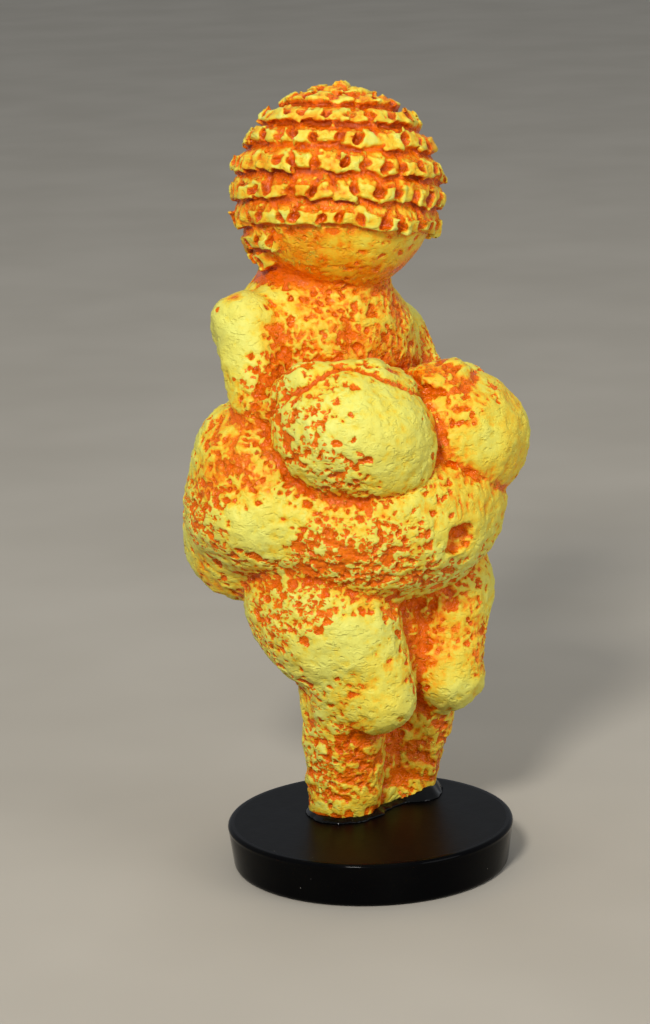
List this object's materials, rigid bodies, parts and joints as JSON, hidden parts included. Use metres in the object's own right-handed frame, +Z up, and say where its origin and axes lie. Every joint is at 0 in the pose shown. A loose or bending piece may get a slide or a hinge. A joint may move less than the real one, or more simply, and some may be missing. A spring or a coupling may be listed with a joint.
{
  "type": "venus figurine",
  "caption": "Stout standing female figurine with a cap of ruffled rows and a faceless head, cast in painted resin and glued off centre on a round black disc; an ornament.",
  "frame": {"origin": "middle of the disc's underside", "axes": "+Z up, the figure faces -Y, its left side is towards +X"},
  "size_m": [0.0708, 0.0638, 0.1494],
  "materials": {
    "figure_paint": "cast resin, greenish yellow dry-brushed over glossy orange-red, satin",
    "disc_black": "black paint, satin to gloss",
    "glue_black": "set black glue, high gloss"
  },
  "bodies": {
    "root": {"figure": "figure_paint", "base_disc": "disc_black", "adhesive": "glue_black"}
  },
  "joints": []
}
